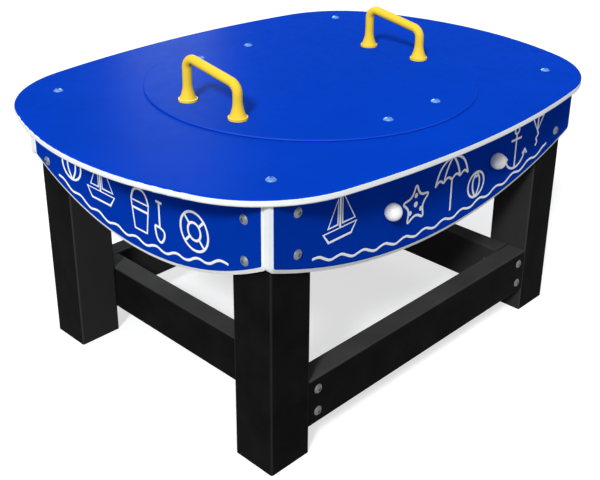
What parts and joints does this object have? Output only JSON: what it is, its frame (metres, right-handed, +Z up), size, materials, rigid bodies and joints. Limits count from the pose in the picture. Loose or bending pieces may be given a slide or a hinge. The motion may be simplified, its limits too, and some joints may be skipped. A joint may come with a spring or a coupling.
{
  "type": "sand table",
  "caption": "Children's sand table: a bowed top on square posts, with a round lift-off lid with bent handles over a sand tray, curved-edge skirts and low rails.",
  "frame": {"origin": "on the floor under the middle of the top", "axes": "+X along the table's length, +Y towards its back, away from the ball knobs, +Z up"},
  "size_m": [1.234, 0.9398, 0.6951],
  "materials": {
    "sandwich_sheet": "blue skins on a white core, satin",
    "lid_sheet": "solid blue sheet, satin",
    "post_plastic": "black recycled plastic",
    "cleat_plastic": "black recycled plastic",
    "handle_plastic": "yellow moulded plastic",
    "knob_plastic": "white moulded plastic",
    "tray_plastic": "grey moulded plastic",
    "fastener_steel": "stainless"
  },
  "bodies": {
    "table": {"ball_knob_left": "knob_plastic", "ball_knob_right": "knob_plastic", "bearer_bolts_left": "fastener_steel", "bearer_bolts_right": "fastener_steel", "knob_screws": "fastener_steel", "leg_back_left": "post_plastic", "leg_back_right": "post_plastic", "leg_front_left": "post_plastic", "leg_front_right": "post_plastic", "long_rail_back": "post_plastic", "long_rail_bolts_back": "fastener_steel", "long_rail_bolts_front": "fastener_steel", "long_rail_front": "post_plastic", "sand_tray": "tray_plastic", "short_rail_bolts_left": "fastener_steel", "short_rail_bolts_right": "fastener_steel", "short_rail_left": "post_plastic", "short_rail_right": "post_plastic", "skirt_back": "sandwich_sheet", "skirt_bolts_back": "fastener_steel", "skirt_bolts_front": "fastener_steel", "skirt_bolts_left": "fastener_steel", "skirt_bolts_right": "fastener_steel", "skirt_front": "sandwich_sheet", "skirt_left": "sandwich_sheet", "skirt_right": "sandwich_sheet", "table_top": "sandwich_sheet", "top_bolts": "fastener_steel", "tray_bearer_left": "post_plastic", "tray_bearer_right": "post_plastic", "tray_screws": "fastener_steel"},
    "lid_set": {"handle_left": "handle_plastic", "handle_right": "handle_plastic", "handle_screws": "fastener_steel", "lid": "lid_sheet", "lid_bolts": "fastener_steel", "lid_cleat_back": "cleat_plastic", "lid_cleat_front": "cleat_plastic", "lid_nuts": "fastener_steel"}
  },
  "joints": [
    {"name": "lid_lift", "type": "slide", "parent": "table", "child": "lid_set", "axis": [0, 0, 1], "range_m": [0, 0.35]}
  ]
}
